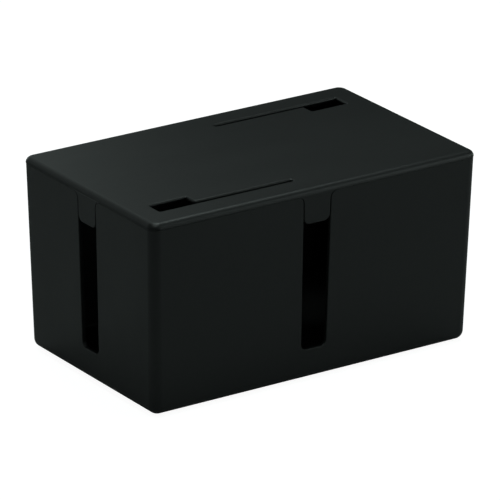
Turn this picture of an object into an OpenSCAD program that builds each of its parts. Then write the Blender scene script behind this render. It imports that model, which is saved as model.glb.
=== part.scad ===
// Lidded cable management box: a drafted tub with a cable slot in its front wall and in both end walls,
// and a lift-off lid whose three tabs close the tops of those slots and whose two flag-shaped openings
// pass charging leads.
// Origin: centre of the footprint, on the surface that the rubber feet stand on. +X runs along the long
// side, +Z up. Millimetres.

/* [Box] */
// Width across the rim, along X
box_w = 245; // [200:1:300]
// Depth across the rim, along Y
box_d = 150; // [120:1:190]
// Height of the closed box above its own underside
box_h = 128.5; // [110:0.5:160]
// Lean of every side wall, narrower at the bottom, in degrees
draft = 1.5; // [0.5:0.1:2]
// Radius of the four upright corners
corner_r = 6.5; // [5:0.5:9]
// Radius of the edge between walls and floor
floor_edge_r = 6; // [4:0.5:8]
// Thickness of the tub's walls and floor
wall = 2.8; // [2:0.1:3.4]

/* [Lid] */
// Height of the lid's edge above the parting line
lid_h = 4.2; // [4.1:0.1:6]
// Thickness of the lid's top plate
lid_t = 2.5; // [2:0.1:3]
// Radius of the lid's top edge
lid_edge_r = 4.1; // [2:0.1:4.1]
// How far the lid's edge stands out past the tub's rim
lid_overhang = 0.25; // [0.1:0.05:0.6]
// Depth of the locating skirt below the parting line
skirt_depth = 6; // [3:0.5:10]
// Thickness of the locating skirt
skirt_t = 1.8; // [1.2:0.1:2.5]
// Clearance between the skirt and the tub's inner wall
skirt_gap = 0.4; // [0.2:0.05:0.8]

/* [Side slots] */
// Width of each slot where it meets the rim, before its corners
slot_w_rim = 20.6; // [16:0.1:26]
// Width of each slot at its bottom
slot_w_low = 18.7; // [14:0.1:24]
// Height of the slot's bottom above the box's underside
slot_z = 20.5; // [15:0.5:40]
// Radius of the slot's two bottom corners
slot_low_r = 4; // [2:0.5:6]
// Radius of the rim's corners beside the slot
slot_rim_r = 4.5; // [2:0.5:6]
// Depth of each lid tab below the lid's top
tab_drop = 23.2; // [16:0.1:40]
// Radius of each tab's bottom corners
tab_r = 4.3; // [1:0.1:5]
// Gap between a tab and the sides of its slot
tab_gap = 0.4; // [0.3:0.1:1]

/* [Lid openings] */
// Length of each wide opening, along X
hole_l = 27.5; // [20:0.1:40]
// Width of each wide opening, along Y
hole_w = 13.1; // [8:0.1:20]
// Distance from the rim's outline to the wide opening's outer end, along X
hole_margin_x = 17.8; // [14:0.1:26]
// Distance from the rim's outline to the outer long side of opening and slit, along Y
hole_margin_y = 18.7; // [14:0.1:26]
// Corner radius of each wide opening
hole_r = 0.8; // [0.5:0.1:3]
// Width of the slit that leads from each wide opening
slit_w = 3.5; // [3:0.1:6]
// Distance from the box's middle to the front slit's inner end, along X
front_slit_x = 5; // [4:0.5:30]
// Distance from the box's middle to the back slit's inner end, along X
back_slit_x = 9; // [4:0.5:30]

/* [Feet] */
// Diameter of each rubber foot
foot_d = 12; // [8:0.5:14]
// How far each foot stands below the underside
foot_h = 1.5; // [1:0.1:3]
// Depth of the recess that each foot is stuck into
foot_recess = 0.5; // [0.3:0.1:0.8]
// Clearance between a foot and the side of its recess
foot_gap = 0.2; // [0.1:0.05:0.4]
// Distance of each foot's centre from the rim's outline, along X and along Y
foot_inset = 20; // [20:1:30]

/* [Hidden] */

$fn = 48;
facets = 32;                              // sides of the round children of a hull
base_z = foot_h;                          // the tub's underside
top_z = base_z + box_h;                   // the lid's top
rim_z = top_z - lid_h;                    // the parting line
low_w = box_w - 2 * (rim_z - base_z) * tan(draft);   // outline at the underside
low_d = box_d - 2 * (rim_z - base_z) * tan(draft);
inner_corner_r = corner_r - wall;
inner_edge_r = floor_edge_r - wall;
tab_z = top_z - tab_drop;
foot_x = box_w / 2 - foot_inset;
foot_y = box_d / 2 - foot_inset;
hole_x = box_w / 2 - hole_margin_x;
hole_y = box_d / 2 - hole_margin_y;
cut = 1;                                  // overrun of a cutting shape past the face it opens
slice = 0.01;                             // thickness of the flat end of a hull
tab_overlap = 0.5;                        // how far the tabs' plates run up into the lid's edge
seam_gap = 0.06;                          // clearance between a tab's round roots and the rim's corners
least_r = 0.4;                            // smallest upright corner radius of the skirt
plastic = "#2b2d2d";
rubber = "#161616";

// The four corners of a w by d outline, each one holding a child whose own radius is r
module at_corners(w, d, r) {
    for (x = [-1, 1], y = [-1, 1])
        translate([x * (w / 2 - r), y * (d / 2 - r), 0]) children();
}

// The drafted, round-edged block that is the tub's outside, or its cavity when inset by the wall
module drafted_block(inset, z_low, z_high, upright_r, edge_r) {
    grow = 2 * (z_low - base_z) * tan(draft);
    over = 2 * (z_high - rim_z) * tan(draft);
    hull() {
        translate([0, 0, z_low + edge_r])
            at_corners(low_w + grow - 2 * inset, low_d + grow - 2 * inset, edge_r)
                sphere(r = edge_r, $fn = facets);
        translate([0, 0, z_high - slice])
            at_corners(box_w + over - 2 * inset, box_d + over - 2 * inset, upright_r)
                cylinder(r = upright_r, h = slice, $fn = facets);
    }
}

// Turns a child drawn for the front wall to the front wall and both end walls, moved out past the rim's
// outline by out; the back wall stays closed
module at_slots(out) {
    translate([0, -box_d / 2 - out, 0]) children();
    for (turn = [90, 270]) rotate([0, 0, turn]) translate([0, -box_w / 2 - out, 0]) children();
}

// Half width of a slot at height z above the underside: the slot narrows a little downwards
function slot_half(z) =
    slot_w_low / 2 + (slot_w_rim - slot_w_low) / 2 * (z - slot_z) / (rim_z - base_z - slot_z);

// Outline of a slot in its wall, heights measured from the underside, with round bottom corners
module slot_outline() {
    rim = rim_z - base_z;
    low = slot_z + slot_low_r;
    for (x = [-1, 1]) translate([x * (slot_half(low) - slot_low_r), low]) circle(r = slot_low_r);
    polygon([
        [-slot_half(low), low], [-slot_half(low) + slot_low_r, slot_z],
        [slot_half(low) - slot_low_r, slot_z], [slot_half(low), low],
        [slot_half(rim), rim + cut], [-slot_half(rim), rim + cut]
    ]);
    for (side = [0, 1]) mirror([side, 0]) slot_rim_corner(slot_rim_r, rim, cut);
}

// The web between a slot's side and the rim, cut back by a round of radius r that touches the height line
module slot_rim_corner(r, line, over) {
    centre = [slot_half(rim_z - base_z) + slot_rim_r, line - r];
    difference() {
        translate([centre[0] - slot_rim_r - cut, centre[1]])
            square([slot_rim_r + cut, r + over]);
        translate(centre) circle(r = r);
    }
}

// Outline of a lid tab from its bottom up into the lid's edge, with the round roots that follow the
// rim's corners
module tab_outline() {
    rim = rim_z - base_z;
    low = tab_z - base_z;
    top = rim + tab_overlap;
    half_low = slot_half(low) - tab_gap;
    half_top = slot_half(rim) - tab_gap;
    for (x = [-1, 1]) translate([x * (half_low - tab_r), low + tab_r]) circle(r = tab_r);
    polygon([
        [-half_low, low + tab_r], [-half_low + tab_r, low], [half_low - tab_r, low], [half_low, low + tab_r],
        [half_top, top], [-half_top, top]
    ]);
    for (side = [0, 1]) mirror([side, 0]) slot_rim_corner(slot_rim_r + tab_gap, rim + seam_gap, tab_overlap);
}

// A plate of thickness t with the outline given by its child, leaning inwards with the wall's outer face
module in_wall(t) {
    translate([0, 0, rim_z]) rotate([draft, 0, 0]) translate([0, 0, base_z - rim_z])
        rotate([90, 0, 0]) translate([0, 0, -t]) linear_extrude(t) children();
}

module tub() {
    color(plastic) difference() {
        drafted_block(0, base_z, rim_z, corner_r, floor_edge_r);
        drafted_block(wall, base_z + wall, rim_z + cut, inner_corner_r, inner_edge_r);
        at_slots(cut) in_wall(wall + 3 * cut) slot_outline();
        for (x = [-1, 1], y = [-1, 1]) translate([x * foot_x, y * foot_y, base_z - cut])
            cylinder(r = foot_d / 2 + foot_gap, h = foot_recess + cut);
    }
}

// The lid's edge and top plate as one solid block, round at its upper edge
module lid_block() {
    w = box_w + 2 * lid_overhang;
    d = box_d + 2 * lid_overhang;
    r = corner_r + lid_overhang;
    hull() {
        translate([0, 0, rim_z]) at_corners(w, d, r) cylinder(r = r, h = slice, $fn = facets);
        translate([0, 0, top_z - lid_edge_r]) at_corners(w, d, r)
            rotate_extrude($fn = facets) translate([r - lid_edge_r, 0]) intersection() {
                circle(r = lid_edge_r, $fn = facets);
                square(lid_edge_r);
            }
    }
}

// An upright prism with the plan of the tub's cavity at the rim, inset further by inset
module cavity_prism(inset, z_low, z_high) {
    r = max(inner_corner_r - inset, least_r);
    hull() translate([0, 0, z_low]) at_corners(box_w - 2 * (wall + inset), box_d - 2 * (wall + inset), r)
        cylinder(r = r, h = z_high - z_low, $fn = facets);
}

// One flag-shaped opening: the wide end takes a plug, the slit holds the lead and ends slit_x from the middle
module flag_opening(slit_x) {
    translate([hole_r - hole_x, hole_r - hole_y]) for (x = [0, 1], y = [0, 1])
        translate([x * (hole_l - 2 * hole_r), y * (hole_w - 2 * hole_r)]) circle(r = hole_r);
    translate([hole_r - hole_x, -hole_y]) square([hole_l - 2 * hole_r, hole_w]);
    translate([-hole_x, hole_r - hole_y]) square([hole_l, hole_w - 2 * hole_r]);
    translate([-hole_x + hole_r, -hole_y]) square([hole_x - hole_r - slit_x - slit_w / 2, slit_w]);
    translate([-slit_x - slit_w / 2, slit_w / 2 - hole_y]) circle(r = slit_w / 2);
}

module lid() {
    color(plastic) difference() {
        union() {
            difference() {
                lid_block();
                cavity_prism(0, rim_z - cut, top_z - lid_t);
            }
            difference() {
                cavity_prism(skirt_gap, rim_z - skirt_depth, top_z - lid_t / 2);
                cavity_prism(skirt_gap + skirt_t, rim_z - skirt_depth - cut, top_z - lid_t);
            }
            at_slots(0) in_wall(wall) tab_outline();
        }
        for (side = [[0, front_slit_x], [180, back_slit_x]]) rotate([0, 0, side[0]])
            translate([0, 0, top_z - lid_t - cut]) linear_extrude(lid_t + 2 * cut) flag_opening(side[1]);
    }
}

// A rubber foot in place; x and y are -1 or 1 for its corner
module foot(x, y) {
    color(rubber) translate([x * foot_x, y * foot_y, 0])
        cylinder(r = foot_d / 2, h = foot_h + foot_recess);
}

module foot_front_left() { foot(-1, -1); }
module foot_front_right() { foot(1, -1); }
module foot_back_left() { foot(-1, 1); }
module foot_back_right() { foot(1, 1); }

tub();
lid();
foot_front_left();
foot_front_right();
foot_back_left();
foot_back_right();
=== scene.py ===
"""Lidded cable box in matte black plastic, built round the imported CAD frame.

The tub and the lid are each one smooth sheet of even thickness, leaning and rounded as a moulding is. A
sheet is worked out twice, on its outside and on its inside, and the two are joined round every free edge by a
small rounded rim.
"""
import math

import bmesh
import bpy
from mathutils import Matrix, Vector
from mathutils.geometry import delaunay_2d_cdt


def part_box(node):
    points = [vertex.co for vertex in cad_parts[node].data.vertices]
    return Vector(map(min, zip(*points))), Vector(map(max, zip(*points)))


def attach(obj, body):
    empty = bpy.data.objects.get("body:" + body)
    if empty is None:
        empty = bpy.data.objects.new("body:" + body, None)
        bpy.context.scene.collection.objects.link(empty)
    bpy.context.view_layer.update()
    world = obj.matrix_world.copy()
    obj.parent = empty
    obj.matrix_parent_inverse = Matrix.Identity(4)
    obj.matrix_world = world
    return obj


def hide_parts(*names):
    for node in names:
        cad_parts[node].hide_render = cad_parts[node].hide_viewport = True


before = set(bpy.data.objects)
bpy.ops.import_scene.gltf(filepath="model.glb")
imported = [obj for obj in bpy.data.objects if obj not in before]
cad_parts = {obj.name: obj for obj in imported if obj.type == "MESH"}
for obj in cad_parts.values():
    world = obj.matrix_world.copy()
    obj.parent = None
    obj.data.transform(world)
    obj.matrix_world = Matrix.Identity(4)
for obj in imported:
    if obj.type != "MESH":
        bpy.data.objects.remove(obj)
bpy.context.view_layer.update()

MM = 0.001

# Places taken from the frame, in metres
TUB_LOW, TUB_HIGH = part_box("tub")
LID_LOW, LID_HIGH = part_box("lid")
HALF_W, HALF_D = TUB_HIGH[0], TUB_HIGH[1]       # the rim's outline
BASE_Z = TUB_LOW[2]                             # the tub's underside
RIM_Z = TUB_HIGH[2]                             # the parting line
TOP_Z = LID_HIGH[2]                             # the lid's top
TAB_Z = LID_LOW[2]                              # bottom of the lid's tabs

# Moulding
DRAFT = math.radians(1.5)
SLOT_WALLS = (0, 1, 3)                          # front, right and left; the back wall is closed
CORNER_R = 6.5 * MM
FLOOR_EDGE_R = 6.0 * MM
WALL = 2.8 * MM
RIM_FILLET = 0.2 * MM
SLOT_FILLET = 0.55 * MM
SLOT_Z = BASE_Z + 20.5 * MM
SLOT_HALF_RIM = 10.3 * MM
SLOT_HALF_LOW = 9.35 * MM
SLOT_LOW_R = 4.0 * MM
SLOT_RIM_R = 4.5 * MM

# Lid
LID_T = 2.5 * MM
LID_EDGE_R = 4.1 * MM
LID_INNER_R = 1.0 * MM
SEAM_GAP = 0.2 * MM
LIP_FILLET = 0.2 * MM
LIP_Z = RIM_Z + SEAM_GAP + LIP_FILLET           # where the lid's edge starts to round off below
LIP_BAND = 0.1 * MM                             # the flat part of the edge above that
OVERHANG = LID_HIGH[0] - HALF_W - (LIP_Z + LIP_BAND - RIM_Z) * math.tan(DRAFT)
TAB_FILLET = 0.5 * MM
TAB_R = 4.3 * MM
TAB_GAP = 0.4 * MM
TAB_STEP = 4                                    # the outline point from which a tab is flush with the tub
SKIRT_DEPTH = 6.0 * MM
SKIRT_T = 1.8 * MM
SKIRT_FILLET = 0.4 * MM
SKIRT_INSET = WALL + 0.4 * MM

# Flag-shaped lid openings: the front one; the back one is its half-turn copy, with a slit end of its own
HOLE_X0, HOLE_X1 = -104.7 * MM, -77.2 * MM
HOLE_Y0, HOLE_Y1 = -56.3 * MM, -43.2 * MM
HOLE_R = 0.8 * MM
SLIT_W = 3.5 * MM
FRONT_SLIT_END, BACK_SLIT_END = -5 * MM, -9 * MM
SLIT_ROOT_R = 1.6 * MM
OPENING_FILLET = 1.2 * MM

# Feet
FEET = [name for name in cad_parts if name.startswith("foot_")]
FOOT_GAP = 0.2 * MM
FOOT_BEVEL = 0.45 * MM
FOOT_DISH = 0.25 * MM                           # depth of the dish in a foot's face

# Surface: the plastic's darkest and lightest speckle, and the rubber's
PLASTIC_DARK, PLASTIC_LIGHT = (0.0035, 0.0042, 0.0042), (0.0055, 0.0062, 0.0062)
RUBBER_DARK, RUBBER_LIGHT = (0.012, 0.012, 0.012), (0.026, 0.025, 0.024)
ROUGHNESS = 0.46

# Stage
PAPER_GREY, PAPER_GLOW = 0.3, 0.95
CARD_GREY = 0.5
CARD_DROP = 0.3 * MM
DAYLIGHT = (0.86, 1.0, 0.965)
LIGHT_AIM = Vector((0, 0, 0.08))

# Smoothness of round stretches
CORNER_STEPS = 12
EDGE_STEPS = 10
ARC_STEPS = 10
FILLET_STEPS = 4
BENDS = [math.pi / 2 * i / FILLET_STEPS for i in range(FILLET_STEPS + 1)]     # round a fillet, face to edge
SHARP_ANGLE = math.radians(35)

# How near two points are when they are one
SAME_POINT = 1e-7
WELD = 1e-6


# ---------------------------------------------------------------- outlines
# An outline is a list of edge points (u, v, nu, nv, fillet): a place in the plane of a wall or of the lid's
# top, the direction from there out of the material, and the radius that rounds the edge off there.

def arc(centre, radius, start, end, side, fillets, steps=ARC_STEPS):
    """Edge points on an arc, angles in degrees; side is 1 for material inside it and -1 for outside."""
    points = []
    for i in range(steps + 1):
        share = i / steps
        angle = math.radians(start + (end - start) * share)
        du, dv = math.cos(angle), math.sin(angle)
        fillet = fillets[0] + (fillets[1] - fillets[0]) * share
        points.append((centre[0] + radius * du, centre[1] + radius * dv, side * du, side * dv, fillet))
    return points


def mirrored(points):
    """The points followed by their mirror image, from left to right."""
    return points + [(-u, v, -nu, nv, fillet) for u, v, nu, nv, fillet in reversed(points)]


def rounded(point, bend):
    """Where an edge point is, part-way round its fillet: (u, v, depth).

    Bend 0 is on the face and pi / 2 on the edge."""
    u, v, nu, nv, fillet = point
    back = fillet * (1 - math.sin(bend))
    return u - back * nu, v - back * nv, fillet * (1 - math.cos(bend))


def lean(z):
    """How far the wall has leaned in at height z, from the rim's outline."""
    return (RIM_Z - z) * math.tan(DRAFT)


def slot_half(z):
    """Half width of a side slot at height z."""
    share = (z - SLOT_Z) / (RIM_Z - SLOT_Z)
    return SLOT_HALF_LOW + (SLOT_HALF_RIM - SLOT_HALF_LOW) * share


def tub_edge():
    """Free edge of the tub along one wall, left to right: rim, slot, rim."""
    rim_centre = (-(SLOT_HALF_RIM + SLOT_RIM_R), RIM_Z - SLOT_RIM_R)
    low_centre = (-(slot_half(SLOT_Z + SLOT_LOW_R) - SLOT_LOW_R), SLOT_Z + SLOT_LOW_R)
    return mirrored(
        arc(rim_centre, SLOT_RIM_R, 90, 0, 1, (RIM_FILLET, SLOT_FILLET))
        + arc(low_centre, SLOT_LOW_R, 180, 270, -1, (SLOT_FILLET, SLOT_FILLET))
    )


def lid_edge():
    """Free edge of the lid along one wall, left to right: lip, tab, lip."""
    root_r = SLOT_RIM_R + TAB_GAP
    root_centre = (-(SLOT_HALF_RIM + SLOT_RIM_R), RIM_Z + SEAM_GAP - root_r)
    low_centre = (-(slot_half(TAB_Z) - TAB_GAP - TAB_R), TAB_Z + TAB_R)
    return mirrored(
        arc(root_centre, root_r, 90, 0, -1, (LIP_FILLET, TAB_FILLET))
        + arc(low_centre, TAB_R, 180, 270, 1, (TAB_FILLET, TAB_FILLET))
    )


def no_overhang(z):
    return 0.0


def lid_overhang(z):
    """How far the lid stands out past the tub's outline at height z: its edge does, its tabs are flush."""
    low = rounded(lid_edge()[TAB_STEP], 0)[1]
    return OVERHANG * min(max((z - low) / (LIP_Z - low), 0.0), 1.0)


def flag_outline(slit_end):
    """Outline of a lid opening: a wide end with a long slit running from it."""
    slit_r = SLIT_W / 2
    fillets = (OPENING_FILLET, OPENING_FILLET)
    return (
        arc((HOLE_X0 + HOLE_R, HOLE_Y0 + HOLE_R), HOLE_R, 180, 270, -1, fillets)
        + arc((slit_end - slit_r, HOLE_Y0 + slit_r), slit_r, -90, 90, -1, fillets)
        + arc((HOLE_X1 + SLIT_ROOT_R, HOLE_Y0 + SLIT_W + SLIT_ROOT_R), SLIT_ROOT_R, 270, 180, 1, fillets)
        + arc((HOLE_X1 - HOLE_R, HOLE_Y1 - HOLE_R), HOLE_R, 0, 90, -1, fillets)
        + arc((HOLE_X0 + HOLE_R, HOLE_Y1 - HOLE_R), HOLE_R, 90, 180, -1, fillets)
    )


# ---------------------------------------------------------------- sheets

def half_of(wall):
    """Half length of a wall, to the rim's outline. Walls are numbered from the front one, anticlockwise."""
    return HALF_W if wall % 2 == 0 else HALF_D


def at_wall(wall, x, y, z):
    """Point given as if the wall were the front one, turned to where the wall is."""
    for _ in range(wall):
        x, y = -y, x
    return Vector((x, y, z))


def on_wall(wall, u, inset, z):
    """Point on one of the four walls: u along it, seen from outside, inset from the rim's outline."""
    return at_wall(wall, u, -(half_of(wall + 1) - inset), z)


def on_corner(wall, angle, centre_inset, radius, z):
    """Point on the upright corner at the right-hand end of a wall; angle 0 faces out of that wall."""
    x = half_of(wall) - centre_inset + radius * math.sin(angle)
    y = -(half_of(wall + 1) - centre_inset + radius * math.cos(angle))
    return at_wall(wall, x, y, z)


def corner_arc(wall, inset, centre_inset, z):
    """The corner after a wall, from that wall to the next."""
    radius = centre_inset - inset
    angles = [math.pi / 2 * i / CORNER_STEPS for i in range(CORNER_STEPS + 1)]
    return [on_corner(wall, angle, centre_inset, radius, z) for angle in angles]


def plan_ring(inset, centre_inset, z):
    """A rounded rectangle at height z."""
    return [p for wall in range(4) for p in corner_arc(wall, inset, centre_inset, z)]


def strips(faces, low, high, closed=True):
    """Adds a band of quads between two rows of points."""
    count = len(low)
    for i in range(count if closed else count - 1):
        j = (i + 1) % count
        faces.append([low[i], low[j], high[j], high[i]])


def edge_loop(outline, line, thickness, out, bend, inner):
    """One row of points along the free edge all round the box: each wall's outline, then the corner after it.

    line is (height, 1 or -1 for a free side up or down, fillet) of the edge past the outline; out gives the
    overhang at a height."""
    line_z, line_side, line_fillet = line

    def sunk(depth, z):
        return (thickness - depth if inner else depth) / math.cos(DRAFT) - out(z)

    _, corner_z, corner_depth = rounded((0, line_z, 0, line_side, line_fillet), bend)
    inset, centre = lean(corner_z) + sunk(corner_depth, corner_z), lean(corner_z) + CORNER_R
    loop = []
    for wall in range(4):
        if wall in SLOT_WALLS:
            for point in outline:
                u, z, depth = rounded(point, bend)
                loop.append(on_wall(wall, u, lean(z) + sunk(depth, z), z))
        loop += corner_arc(wall, inset, centre, corner_z)
    return loop


def edge_rows(outline, line, thickness, out):
    """The rows that round the outer edge, cross the thickness and round the inner edge."""
    outer = [edge_loop(outline, line, thickness, out, bend, False) for bend in BENDS]
    inner = [edge_loop(outline, line, thickness, out, bend, True) for bend in reversed(BENDS)]
    return outer + inner


def sheet(faces, profile, outline, line, t, out, creases=()):
    """One side of a moulding: the rounding that profile gives, then walls and corners to the free edge.

    profile is a list of (inset, height) from the flat face to the wall, and ends where the wall starts.
    creases are the outline points between which a level line parts two flat faces. It returns the ring round
    the flat face."""
    wall_inset, wall_z = profile[-1]
    centre = lean(wall_z) + CORNER_R
    rings = [plan_ring(inset, centre, z) for inset, z in profile]
    for low, high in zip(rings, rings[1:]):
        strips(faces, low, high)
    line_z = line[0] - line[1] * line[2]
    near_inset, near_centre = lean(line_z) + t / math.cos(DRAFT) - out(line_z), lean(line_z) + CORNER_R
    for wall in range(4):
        far, near = half_of(wall) - centre, half_of(wall) - near_centre
        free = []
        if wall in SLOT_WALLS:
            spots = [rounded(point, 0)[:2] for point in outline]
            free = [on_wall(wall, u, lean(z) + t / math.cos(DRAFT) - out(z), z) for u, z in spots]
        corners = [on_wall(wall, side * near, near_inset, line_z) for side in (-1, 1)]
        top = [on_wall(wall, far, wall_inset, wall_z), on_wall(wall, -far, wall_inset, wall_z)]
        if free:
            for first, last in zip(creases, creases[1:]):
                faces.append(free[first:last + 1] + free[len(free) - 1 - last:len(free) - first])
            if creases:
                faces.append(free[creases[-1]:len(free) - creases[-1]])
                free = [free[0], free[-1]]
        faces.append(corners[:1] + free + corners[1:] + top)
        strips(
            faces,
            corner_arc(wall, wall_inset, centre, wall_z),
            corner_arc(wall, near_inset, near_centre, line_z),
            closed=False,
        )
    return rings[0]


def floor_profile(t):
    """The tub's rounding from floor to wall, at depth t into the sheet."""
    centre_z = BASE_Z + FLOOR_EDGE_R
    centre = lean(centre_z) + FLOOR_EDGE_R / math.cos(DRAFT)
    radius = FLOOR_EDGE_R - t
    angles = [(math.pi / 2 - DRAFT) * i / EDGE_STEPS for i in range(EDGE_STEPS + 1)]
    return [(centre - radius * math.sin(a), centre_z - radius * math.cos(a)) for a in angles]


def top_profile(t):
    """The lid's rounding from top to side: the outer one down to the flat band, or the inner one, t deep."""
    radius = LID_INNER_R if t else LID_EDGE_R
    centre_z = TOP_Z - t - radius
    end_z = max(LIP_Z + LIP_BAND, centre_z)
    last = math.acos((end_z - centre_z) / radius)
    centre = lean(end_z) - OVERHANG + t / math.cos(DRAFT) + radius * math.sin(last)
    angles = [last * i / EDGE_STEPS for i in range(EDGE_STEPS + 1)]
    return [(centre - radius * math.sin(a), centre_z + radius * math.cos(a)) for a in angles]


# ---------------------------------------------------------------- meshes

def make_object(name, faces):
    """A mesh object from faces given as lists of points; the points that faces share are welded."""
    bm = bmesh.new()
    for face in faces:
        corners = []
        for p in face:
            if not corners or (Vector(p) - corners[-1].co).length > SAME_POINT:
                corners.append(bm.verts.new(p))
        if (corners[0].co - corners[-1].co).length < SAME_POINT:
            bm.verts.remove(corners.pop())
        bm.faces.new(corners)
    bmesh.ops.remove_doubles(bm, verts=bm.verts, dist=WELD)
    bmesh.ops.recalc_face_normals(bm, faces=bm.faces)
    mesh = bpy.data.meshes.new(name)
    bm.to_mesh(mesh)
    bm.free()
    obj = bpy.data.objects.new(name, mesh)
    bpy.context.scene.collection.objects.link(obj)
    return obj


def flat_with_holes(faces, outer, holes):
    """Fills a flat outline that has holes in it. All the outlines run anticlockwise."""
    points, outlines = [], []
    for loop in (outer, *holes):
        outlines.append(list(range(len(points), len(points) + len(loop))))
        points += [p.xy for p in loop]
    inside_only, nearness = 1, 1e-9
    places, _, triangles, _, _, covers = delaunay_2d_cdt(points, [], outlines, inside_only, nearness)
    for corners, cover in zip(triangles, covers):
        if cover == [0]:
            faces.append([Vector((*places[i], outer[0].z)) for i in corners])


def join_solids(obj, other, operation):
    """Applies an exact boolean with another object, and removes that object."""
    boolean = obj.modifiers.new(operation.lower(), "BOOLEAN")
    boolean.operation, boolean.solver, boolean.object = operation, "EXACT", other
    graph = bpy.context.evaluated_depsgraph_get()
    result = bpy.data.meshes.new_from_object(obj.evaluated_get(graph))
    obj.modifiers.clear()
    obj.data = result
    bpy.data.objects.remove(other)


def finish_shading(obj, material):
    """Smooth shading that keeps flat faces flat and real edges sharp."""
    mesh = obj.data
    mesh.materials.clear()
    mesh.materials.append(material)
    mesh.polygons.foreach_set("use_smooth", [True] * len(mesh.polygons))
    mesh.set_sharp_from_angle(angle=SHARP_ANGLE)
    weighted = obj.modifiers.new("weighted_normal", "WEIGHTED_NORMAL")
    weighted.keep_sharp = True


def lathe(name, profile, centre, steps=64):
    """A turned solid from (radius, height) points, closed by a flat face at each end."""
    rings = [
        [Vector((centre[0] + r * math.cos(a), centre[1] + r * math.sin(a), z))
         for a in (2 * math.pi * i / steps for i in range(steps))]
        for r, z in profile
    ]
    faces = [rings[0], rings[-1]]
    for low, high in zip(rings, rings[1:]):
        strips(faces, low, high)
    return make_object(name, faces)


# ---------------------------------------------------------------- pieces

def build_tub():
    faces = []
    outline, line = tub_edge(), (RIM_Z, 1, RIM_FILLET)
    for t in (0.0, WALL):
        faces.append(sheet(faces, floor_profile(t), outline, line, t, no_overhang))
    rows = edge_rows(outline, line, WALL, no_overhang)
    for low, high in zip(rows, rows[1:]):
        strips(faces, low, high)
    return make_object("tub_shell", faces)


def flag_row(slit_end, bend, inner):
    """One row of points round a lid opening, part-way round its upper or lower fillet."""
    row = []
    for point in flag_outline(slit_end):
        x, y, depth = rounded(point, bend)
        row.append(Vector((x, y, TOP_Z - (LID_T - depth if inner else depth))))
    return row


def flag_rows(bend, inner):
    """A row round the front opening, and one round the back opening, which is its half-turn copy."""
    front, back = (flag_row(slit_end, bend, inner) for slit_end in (FRONT_SLIT_END, BACK_SLIT_END))
    return front, [Vector((-p.x, -p.y, p.z)) for p in back]


def build_lid():
    faces = []
    outline, line = lid_edge(), (LIP_Z - LIP_FILLET, -1, LIP_FILLET)
    for t in (0.0, LID_T):
        outer = sheet(faces, top_profile(t), outline, line, t, lid_overhang, creases=(0, TAB_STEP))
        flat_with_holes(faces, outer, flag_rows(0, t > 0))
    rows = edge_rows(outline, line, LID_T, lid_overhang)
    for low, high in zip(rows, rows[1:]):
        strips(faces, low, high)
    flags = [flag_rows(bend, False) for bend in BENDS] + [flag_rows(bend, True) for bend in reversed(BENDS)]
    for rows in zip(*flags):
        for low, high in zip(rows, rows[1:]):
            strips(faces, low, high)
    lid = make_object("lid_shell", faces)
    join_solids(lid, build_skirt(), "UNION")
    return lid


def build_skirt():
    """The ring under the lid that drops inside the rim, sunk a little way into the top plate."""
    inner = SKIRT_INSET + SKIRT_T
    centre = CORNER_R
    low_z = RIM_Z - SKIRT_DEPTH
    high_z = TOP_Z - LID_T * 0.7
    f = SKIRT_FILLET
    path = [(SKIRT_INSET, high_z)]
    path += [(SKIRT_INSET + f * (1 - math.cos(a)), low_z + f * (1 - math.sin(a))) for a in BENDS]
    path += [(inner - f * (1 - math.sin(a)), low_z + f * (1 - math.cos(a))) for a in BENDS]
    path += [(inner, high_z)]
    rings = [plan_ring(inset, centre, z) for inset, z in path]
    faces = []
    for low, high in zip(rings, rings[1:] + rings[:1]):
        strips(faces, low, high)
    return make_object("skirt", faces)


def foot_facts(name):
    """(centre x, centre y, radius, lowest z, highest z) of a foot."""
    low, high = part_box(name)
    return (low[0] + high[0]) / 2, (low[1] + high[1]) / 2, (high[0] - low[0]) / 2, low[2], high[2]


def sink_feet(tub):
    """Cuts the shallow round wells that the feet are stuck into."""
    for name in FEET:
        x, y, radius, _, high = foot_facts(name)
        r = radius + FOOT_GAP
        well = lathe("well", [(r, BASE_Z - MM), (r, high)], (x, y))
        join_solids(tub, well, "DIFFERENCE")


def build_foot(name):
    """A rubber disc with a round lower edge and a shallow dish in its face."""
    x, y, radius, low, high = foot_facts(name)
    inner, floor_r, mouth_r = radius * 0.35, radius * 0.6, radius * 0.68
    centre_r = radius - FOOT_BEVEL
    profile = [(inner, low + FOOT_DISH), (floor_r, low + FOOT_DISH), (mouth_r, low)]
    profile += [(centre_r + FOOT_BEVEL * math.sin(a), low + FOOT_BEVEL * (1 - math.cos(a))) for a in BENDS]
    profile += [(radius, high)]
    return lathe("rubber_" + name, profile, (x, y))


# ---------------------------------------------------------------- materials

def new_material(name):
    material = bpy.data.materials.new(name)
    material.use_nodes = True
    tree = material.node_tree
    shader = tree.nodes["Principled BSDF"]
    return material, tree, shader


def add_noise(tree, coords, scale, detail, stretch=(1, 1, 1)):
    """A noise texture in object space; scale is in cycles per metre."""
    mapping = tree.nodes.new("ShaderNodeMapping")
    mapping.inputs["Scale"].default_value = stretch
    tree.links.new(coords, mapping.inputs["Vector"])
    noise = tree.nodes.new("ShaderNodeTexNoise")
    noise.inputs["Scale"].default_value = scale
    noise.inputs["Detail"].default_value = detail
    tree.links.new(mapping.outputs["Vector"], noise.inputs["Vector"])
    return noise.outputs["Fac"]


def add_range(tree, value, low, high):
    """Maps a noise value's middle half onto low to high."""
    node = tree.nodes.new("ShaderNodeMapRange")
    node.inputs["From Min"].default_value = 0.3
    node.inputs["From Max"].default_value = 0.7
    node.inputs["To Min"].default_value = low
    node.inputs["To Max"].default_value = high
    tree.links.new(value, node.inputs["Value"])
    return node.outputs["Result"]


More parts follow.
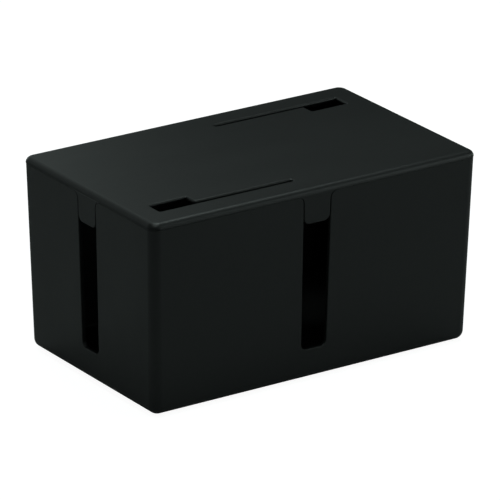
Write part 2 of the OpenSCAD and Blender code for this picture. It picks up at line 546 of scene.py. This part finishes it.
def add_mix(tree, factor, low, high):
    """A colour between low and high."""
    node = tree.nodes.new("ShaderNodeMix")
    node.data_type = "RGBA"
    node.inputs["A"].default_value = (*low, 1)
    node.inputs["B"].default_value = (*high, 1)
    tree.links.new(factor, node.inputs["Factor"])
    return node.outputs["Result"]


def add_bump(tree, shader, height, strength, distance):
    bump = tree.nodes.new("ShaderNodeBump")
    bump.inputs["Strength"].default_value = strength
    bump.inputs["Distance"].default_value = distance
    tree.links.new(height, bump.inputs["Height"])
    tree.links.new(bump.outputs["Normal"], shader.inputs["Normal"])


def moulded_plastic(name):
    """Black moulded plastic: fine spark-eroded grain, faint flow marks and uneven gloss."""
    material, tree, shader = new_material(name)
    coords = tree.nodes.new("ShaderNodeTexCoord").outputs["Object"]
    grain = add_noise(tree, coords, 1500, 4)
    speckle = add_noise(tree, coords, 520, 2)
    flow = add_noise(tree, coords, 9, 3, (1.0, 3.0, 2.0))
    colour = add_mix(tree, add_range(tree, speckle, 0, 1), PLASTIC_DARK, PLASTIC_LIGHT)
    tree.links.new(colour, shader.inputs["Base Color"])
    tree.links.new(add_range(tree, flow, ROUGHNESS - 0.02, ROUGHNESS + 0.03), shader.inputs["Roughness"])
    add_bump(tree, shader, grain, 0.35, 0.06 * MM)
    shader.inputs["IOR"].default_value = 1.5
    return material


def rubber():
    """Soft black rubber with a slightly dusty face."""
    material, tree, shader = new_material("foot_rubber")
    coords = tree.nodes.new("ShaderNodeTexCoord").outputs["Object"]
    dust = add_noise(tree, coords, 700, 5)
    pits = add_noise(tree, coords, 2500, 3)
    colour = add_mix(tree, add_range(tree, dust, 0, 1), RUBBER_DARK, RUBBER_LIGHT)
    tree.links.new(colour, shader.inputs["Base Color"])
    tree.links.new(add_range(tree, dust, 0.72, 0.85), shader.inputs["Roughness"])
    add_bump(tree, shader, pits, 0.3, 0.08 * MM)
    return material


# ---------------------------------------------------------------- stage

def paper_faces():
    """A round floor that curves up into a wall all round."""
    steps, flat, bend, wall_top = 96, 5.0, 1.0, 6.0
    rows = [(flat, 0.0)]
    for angle in (math.radians(a) for a in range(10, 91, 10)):
        rows.append((flat + bend * math.sin(angle), bend * (1 - math.cos(angle))))
    rows.append((flat + bend, wall_top))
    turns = [math.tau * k / steps for k in range(steps)]
    rings = [[Vector((r * math.cos(t), r * math.sin(t), z)) for t in turns] for r, z in rows]
    faces = [rings[0]]
    for low, high in zip(rings, rings[1:]):
        strips(faces, low, high)
    return faces


def card_faces():
    """A flat square just under the paper."""
    half = 6.0
    corners = (-half, -half), (half, -half), (half, half), (-half, half)
    return [[Vector((x, y, -CARD_DROP)) for x, y in corners]]


def build_stage_sheet(name, faces, grey, glow):
    """A matt sheet that isn't part of the object; glow is the strength of its own light."""
    sheet_object = make_object(name, faces)
    material, _, shader = new_material(name)
    shader.inputs["Base Color"].default_value = (grey, grey, grey, 1)
    shader.inputs["Roughness"].default_value = 0.9
    shader.inputs["Specular IOR Level"].default_value = 0.0
    shader.inputs["Emission Color"].default_value = (1, 1, 1, 1)
    shader.inputs["Emission Strength"].default_value = glow
    sheet_object.data.materials.append(material)
    return sheet_object


def build_floor():
    """White paper, as floor and backdrop, and a grey card just under it that takes its place in reflections
    and bounced light, so that the paper doesn't whiten the black walls."""
    paper = build_stage_sheet("paper", paper_faces(), PAPER_GREY, PAPER_GLOW)
    paper.visible_glossy = paper.visible_diffuse = paper.visible_shadow = False
    card = build_stage_sheet("grey_card", card_faces(), CARD_GREY, 0.0)
    card.visible_camera = False


def area_light(name, place, width, height, power):
    """A softbox that points at the box and stays out of the picture."""
    light = bpy.data.lights.new(name, "AREA")
    light.shape = "RECTANGLE"
    light.size, light.size_y = width, height
    light.energy = power
    light.color = DAYLIGHT
    obj = bpy.data.objects.new(name, light)
    obj.location = place
    obj.rotation_euler = (LIGHT_AIM - Vector(place)).to_track_quat("-Z", "Y").to_euler()
    obj.visible_camera = False
    bpy.context.scene.collection.objects.link(obj)


def build_world(strength):
    """A faint even light from all round."""
    world = bpy.data.worlds.new("studio")
    world.use_nodes = True
    background = world.node_tree.nodes["Background"]
    background.inputs["Color"].default_value = (*DAYLIGHT, 1)
    background.inputs["Strength"].default_value = strength
    bpy.context.scene.world = world


def build_camera():
    """Long lens, from the front left and a little above."""
    azimuth, elevation, roll = math.radians(-34.21), math.radians(21.08), math.radians(0.38)
    distance = 3.5897
    aim_right, aim_up = 0.25 * MM, -1.28 * MM
    middle = Vector((0, 0, (BASE_Z + TOP_Z) / 2))
    back = Vector((
        math.sin(azimuth) * math.cos(elevation), -math.cos(azimuth) * math.cos(elevation), math.sin(elevation)
    ))
    level = Vector((math.cos(azimuth), math.sin(azimuth), 0))
    upright = back.cross(level)
    right = level * math.cos(roll) + upright * math.sin(roll)
    up = upright * math.cos(roll) - level * math.sin(roll)
    place = middle + right * aim_right + up * aim_up + back * distance
    data = bpy.data.cameras.new("camera")
    data.lens = 407.7
    data.sensor_width = 36
    data.clip_end = 50
    camera = bpy.data.objects.new("camera", data)
    camera.matrix_world = Matrix((
        (right.x, up.x, back.x, place.x),
        (right.y, up.y, back.y, place.y),
        (right.z, up.z, back.z, place.z),
        (0, 0, 0, 1),
    ))
    bpy.context.scene.collection.objects.link(camera)
    bpy.context.scene.camera = camera


# ---------------------------------------------------------------- assembly

build_camera()
build_world(0.05)
build_floor()
area_light("overhead_softbox", (0.1, 0.2, 1.4), 0.9, 0.9, 1.4)
area_light("overhead_box", (0.1, 0.15, 1.1), 0.5, 0.5, 0.45)
area_light("overhead_spot", (0.25, 0.27, 1.08), 0.35, 0.35, 1.95)
area_light("corner_spot", (-0.3, -0.3, 0.9), 0.25, 0.25, 0.95)
area_light("front_right_low", (0.95, -0.75, 0.5), 0.3, 0.3, 0.42)
area_light("front_right_high", (0.75, -0.65, 0.6), 0.4, 0.4, 0.95)
area_light("front_strip", (1.1, -1.6, 0.3), 1.2, 0.4, 1.25)
area_light("left_back_box", (-1.2, 0.9, 0.5), 0.8, 0.5, 0.6)
area_light("back_box", (0.0, 0.6, 0.35), 0.5, 0.4, 0.27)
area_light("back_left_box", (-0.25, 0.75, 0.35), 0.5, 0.4, 0.15)
area_light("right_low", (1.5, 0.25, 0.14), 0.4, 0.2, 1.2)
area_light("back_low", (0.15, 1.5, 0.14), 0.4, 0.2, 0.9)

tub_plastic = moulded_plastic("tub_plastic")
lid_plastic = moulded_plastic("lid_plastic")
foot_rubber = rubber()

tub = build_tub()
sink_feet(tub)
finish_shading(tub, tub_plastic)
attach(tub, "box")
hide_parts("tub")

lid = build_lid()
finish_shading(lid, lid_plastic)
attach(lid, "lid")
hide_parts("lid")

for foot_name in FEET:
    foot = build_foot(foot_name)
    finish_shading(foot, foot_rubber)
    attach(foot, "box")
    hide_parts(foot_name)

bpy.context.scene.view_settings.view_transform = "Standard"
